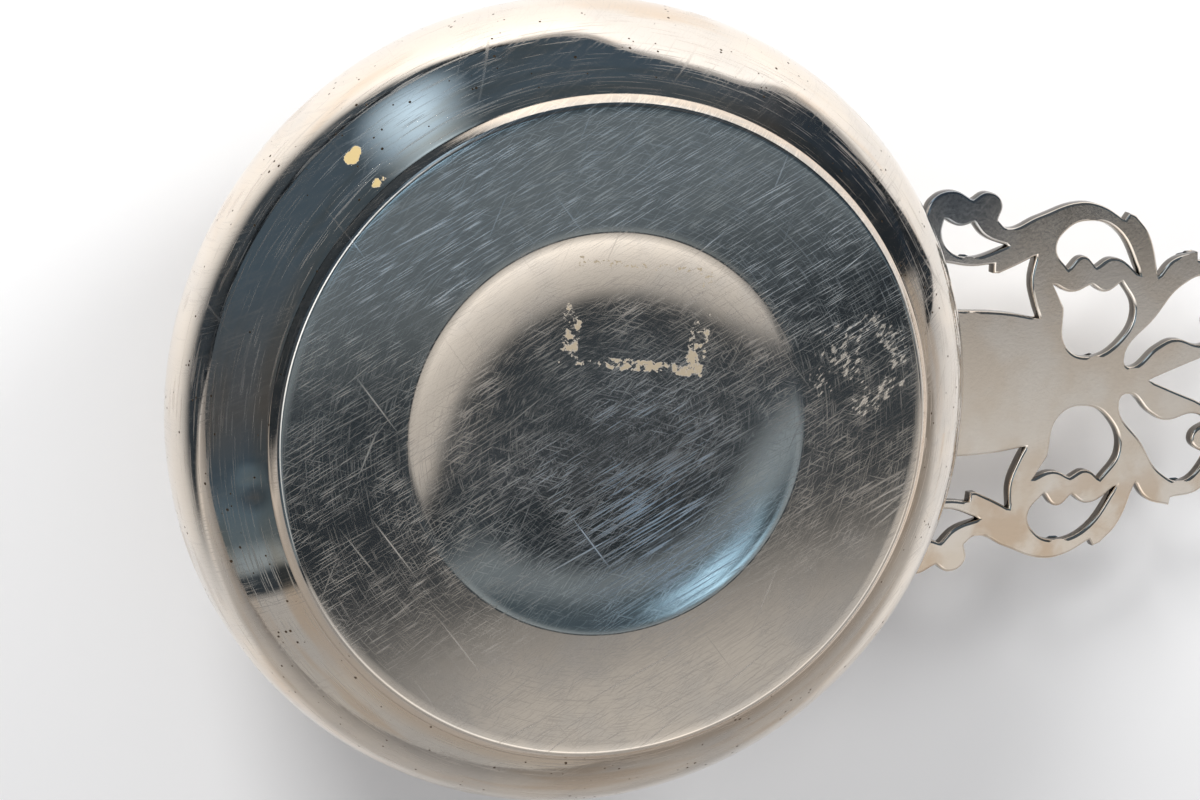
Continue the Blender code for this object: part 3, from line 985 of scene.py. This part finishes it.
def cast_silver():
    """Satin silver, browned along its left side, with painted shade on one corner scroll and in the pierced
    walls.
    """
    material, tree, shader = metal("cast_silver_worn")
    place = millimetres(tree)
    grain = clouds(tree, place, *CAST_GRAIN)
    haze = clouds(tree, place, *CAST_HAZE)
    tone = blend_colour(tree, soft_step(tree, haze, *CAST_HAZE_STEP), CAST_SILVER, CAST_SILVER_WARM)
    side = node(tree, "SeparateXYZ", Vector=place).outputs[1]
    stains = soft_step(tree, clouds(tree, place, *STAINS), *STAIN_STEP)
    browned = product(tree, soft_step(tree, side, *BROWNED_SIDE), stains)
    tone = blend_colour(tree, browned, tone, CAST_SILVER_BROWN)
    # Painted shade: the corner scroll made bluish grey underneath
    corner_shade = product(tree, near(tree, place, SHADED_CORNER, SHADED_CORNER_REACH), underneath(tree))
    tone = blend_colour(tree, corner_shade, tone, CAST_SILVER_PAINTED_SHADE)
    normal = node(tree, "TexCoord").outputs["Normal"]
    flat = calculate(tree, "ABSOLUTE", node(tree, "SeparateXYZ", Vector=normal).outputs[2])
    # Painted shade: the walls of the piercings nearly black
    cut_wall_shade = product(tree, soft_fall(tree, flat, *CUT_WALL_TILT), CUT_WALL_SHADE_SHARE)
    plug(tree, shader.inputs["Base Color"], blend_colour(tree, cut_wall_shade, tone, CUT_WALL_SHADE))
    plug(tree, shader.inputs["Roughness"], soft_step(tree, grain, *GRAIN_STEP, *CAST_ROUGHNESS))
    bump = node(tree, "Bump", Height=grain)
    bump.inputs["Strength"].default_value = GRAIN_BUMP
    bump.inputs["Distance"].default_value = GRAIN_DEPTH
    plug(tree, shader.inputs["Normal"], bump.outputs[0])
    return material


def solder_silver():
    """Duller and warmer silver, grainy where it ran."""
    material, tree, shader = metal("silver_solder_worn")
    grain = clouds(tree, millimetres(tree), *SOLDER_GRAIN)
    tone = blend_colour(tree, soft_step(tree, grain, *SOLDER_TONE_STEP), SOLDER, SOLDER_DARK)
    plug(tree, shader.inputs["Base Color"], tone)
    plug(tree, shader.inputs["Roughness"], soft_step(tree, grain, *GRAIN_STEP, *SOLDER_ROUGHNESS))
    return material


def table_paper(tree, path):
    """White paper. Only the silver mirrors the dark table beyond the paper's left and right edges, and the
    painted shade that greys the paper towards +y.
    """
    x, y, _ = node(tree, "SeparateXYZ", Vector=node(tree, "TexCoord").outputs["Object"]).outputs
    off_left = product(tree, soft_fall(tree, x, *PAPER_LEFT), soft_fall(tree, y, *PAPER_LEFT_END))
    right = calculate(tree, "ADD", y, product(tree, x, PAPER_RIGHT_LEAN))
    off_right = product(tree, soft_step(tree, right, *PAPER_RIGHT), soft_fall(tree, y, *PAPER_RIGHT_END))
    in_mirror = path["Is Glossy Ray"]
    # Painted shade: the paper greyer towards +y, in the silver only
    paper_shade = product(tree, soft_step(tree, y, *PAPER_SHADE_BOTTOM), in_mirror)
    off_sides = product(tree, largest(tree, off_left, off_right), in_mirror)
    paper = blend_colour(tree, paper_shade, TABLE_COLOUR, TABLE_PAINTED_SHADE)
    return blend_colour(tree, off_sides, paper, TABLE_DARK)


def one_way_sheet(name, height, from_below):
    """A flat sheet that is there on one side only: the floor from above, or the table from below.

    A ray from the camera below crosses both floor sheets first, so its count of clear sheets is two by then.
    """
    bpy.ops.mesh.primitive_plane_add(size=2 * SHEET_HALF_SIZE, location=(0.0, 0.0, height))
    sheet = bpy.context.object
    sheet.name = name
    material = bpy.data.materials.new(name + "_paper")
    material.use_nodes = True
    tree = material.node_tree
    shader = tree.nodes["Principled BSDF"]
    shader.inputs["Base Color"].default_value = (*FLOOR_COLOUR, 1.0)
    shader.inputs["Roughness"].default_value = PAPER_ROUGHNESS
    shader.inputs["Specular IOR Level"].default_value = 0.0
    path = node(tree, "LightPath").outputs
    crossed = calculate(tree, "GREATER_THAN", path["Transparent Depth"], len(FLOORS) - 0.5)
    behind = node(tree, "NewGeometry").outputs["Backfacing"]
    if from_below:
        plug(tree, shader.inputs["Base Color"], table_paper(tree, path))
        clear_share = calculate(tree, "SUBTRACT", 1.0, product(tree, behind, crossed))
    else:
        clear_share = largest(tree, behind, crossed)
    mixed = node(tree, "MixShader", Fac=clear_share)
    tree.links.new(shader.outputs[0], mixed.inputs[1])
    tree.links.new(node(tree, "BsdfTransparent").outputs[0], mixed.inputs[2])
    tree.links.new(mixed.outputs[0], tree.nodes["Material Output"].inputs["Surface"])
    sheet.data.materials.append(material)


def pane(tree, direction, azimuth, elevation, half_width, half_height):
    """1 in the middle of a soft pane of light, falling to 0 at its edges."""
    turn, lift = math.radians(azimuth), math.radians(elevation)
    across = (-math.sin(turn), math.cos(turn), 0.0)
    upward = (-math.cos(turn) * math.sin(lift), -math.sin(turn) * math.sin(lift), math.cos(lift))
    middle = Vector(across).cross(upward)
    reach = []
    for axis, size in ((across, half_width), (upward, half_height), (middle, 1.0)):
        made = node(tree, "VectorMath", {"operation": "DOT_PRODUCT"}, Vector=direction)
        made.inputs[1].default_value = axis
        reach.append(calculate(tree, "DIVIDE", made.outputs["Value"], size))
    x, y, front = reach
    gap = calculate(tree, "SQRT", calculate(tree, "ADD", product(tree, x, x), product(tree, y, y)))
    in_front = calculate(tree, "GREATER_THAN", front, 0.0)
    return product(tree, soft_fall(tree, gap, 0.0, 1.0), in_front)


def colour_ramp(tree, value, stops):
    """The colour at a value, between stops that each give a value and its colour."""
    first, last = stops[0][0], stops[-1][0]
    share = node(tree, "MapRange", Value=value)
    share.inputs["From Min"].default_value = first
    share.inputs["From Max"].default_value = last
    ramp = node(tree, "ValToRGB", Fac=share.outputs[0])
    elements = ramp.color_ramp.elements
    while len(elements) < len(stops):
        elements.new(0.5)
    for element, (place, colour) in zip(elements, stops):
        element.position = (place - first) / (last - first)
        element.color = (*colour, 1.0)
    return ramp.outputs[0]


def room_side(tree, x, y, z):
    """How far a direction lies from the room's dark end to its pale side, and how far it is at the right."""
    lean = calculate(tree, "SUBTRACT", ROOM_LEAN, product(tree, x, ROOM_BEND))
    side = calculate(tree, "ADD", y, product(tree, x, lean))
    tail = largest(tree, calculate(tree, "SUBTRACT", x, ROOM_TAIL_FROM), 0.0)
    tail = product(tree, tail, ROOM_TAIL_RISE, soft_fall(tree, z, *ROOM_TAIL_HEIGHT))
    raised = calculate(tree, "MINIMUM", calculate(tree, "ADD", side, tail), ROOM_TAIL_LIMIT)
    side = largest(tree, side, raised)
    at_right = product(tree, soft_step(tree, z, *ROOM_RIGHT_HEIGHT), soft_step(tree, x, *ROOM_RIGHT_REACH))
    side = calculate(tree, "ADD", side, product(tree, at_right, ROOM_RIGHT_SHIFT))
    limit = soft_step(tree, z, *ROOM_LOW_HEIGHT, ROOM[-1][0], ROOM_LOW_LIMIT)
    return calculate(tree, "MINIMUM", side, limit), at_right


def studio_world():
    """Pale above. Below, the dark end of the room and its pale side, as the polished foot mirrors them."""
    world = bpy.data.worlds.new("studio")
    bpy.context.scene.world = world
    world.use_nodes = True
    tree = world.node_tree
    direction = node(tree, "TexCoord").outputs["Generated"]
    x, y, z = node(tree, "SeparateXYZ", Vector=direction).outputs
    side, at_right = room_side(tree, x, y, z)
    dark_right = product(tree, at_right, soft_fall(tree, side, *ROOM_RIGHT_DARK))
    room = blend_colour(tree, dark_right, colour_ramp(tree, side, ROOM), ROOM_RIGHT_END)
    for *place, light in PANES:
        room = blend_colour(tree, pane(tree, direction, *place), room, light)
    sky = blend_colour(tree, soft_step(tree, z, *SKY_RISE), SKY_LOW, SKY_HIGH)
    surroundings = blend_colour(tree, soft_step(tree, z, *HORIZON), room, sky)
    path = node(tree, "LightPath").outputs
    colour = blend_colour(tree, path["Is Glossy Ray"], AMBIENT, surroundings)
    colour = blend_colour(tree, path["Is Camera Ray"], colour, WHITE)
    plug(tree, tree.nodes["Background"].inputs["Color"], colour)


def area_lamp(name, azimuth, elevation, distance, size, power, colour, mirrored_too):
    """A soft square lamp that faces the bowl, by its direction from it in degrees."""
    lamp = bpy.data.lights.new(name, "AREA")
    lamp.shape = "RECTANGLE"
    lamp.size = size
    lamp.size_y = size
    lamp.energy = power
    lamp.color = colour
    held = bpy.data.objects.new(name, lamp)
    bpy.context.scene.collection.objects.link(held)
    turn, lift = math.radians(azimuth), math.radians(elevation)
    away = Vector((math.cos(turn) * math.cos(lift), math.sin(turn) * math.cos(lift), math.sin(lift)))
    held.location = Vector((AXIS_X, 0.0, NECK_HEIGHT)) + away * distance
    held.rotation_euler = away.to_track_quat("Z", "Y").to_euler()
    held.visible_glossy = mirrored_too


def add_camera():
    """The camera at the picture's viewing angle."""
    data = bpy.data.cameras.new("camera")
    data.lens = CAMERA_LENS
    data.sensor_width = SENSOR_WIDTH
    data.clip_start = CLIP_START
    camera = bpy.data.objects.new("camera", data)
    bpy.context.scene.collection.objects.link(camera)
    turn = Euler([math.radians(degrees) for degrees in CAMERA_TURN]).to_matrix().to_4x4()
    camera.matrix_world = Matrix.Translation((AXIS_X + CAMERA_PLACE[0], *CAMERA_PLACE[1:])) @ turn
    bpy.context.scene.camera = camera


def main():
    """The pieces of the porringer, then the stage, the light and the camera."""
    bpy.context.scene.view_settings.view_transform = "Standard"
    bowl = new_piece("porringer_bowl", bowl_mesh(), polished_silver(), ["bowl"])
    bowl.location.x = AXIS_X
    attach(bowl, "root")
    handle = new_piece("keyhole_handle", handle_mesh(), cast_silver(), ["handle"])
    handle.matrix_world = handle_matrix()
    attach(handle, "root")
    solder = solder_silver()
    seams = {
        "centre": (-PLATE_SIDE, PLATE_SIDE),
        "left": (PAD_NEAR_SIDE, PAD_FAR_SIDE),
        "right": (-PAD_FAR_SIDE, -PAD_NEAR_SIDE),
    }
    for seed, (side, (from_side, to_side)) in enumerate(seams.items()):
        bead_mesh = solder_mesh(from_side, to_side, seed)
        bead_mesh.transform(handle_matrix())
        bead = new_piece("solder_bead_" + side, bead_mesh, solder, ["solder_seam_" + side])
        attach(bead, "root")

    for name, depth in FLOORS.items():
        one_way_sheet(name, -depth, False)
    one_way_sheet("table", cad_high.z + TABLE_GAP, True)
    studio_world()
    for name, settings in LAMPS.items():
        area_lamp(name, *settings)
    add_camera()


main()
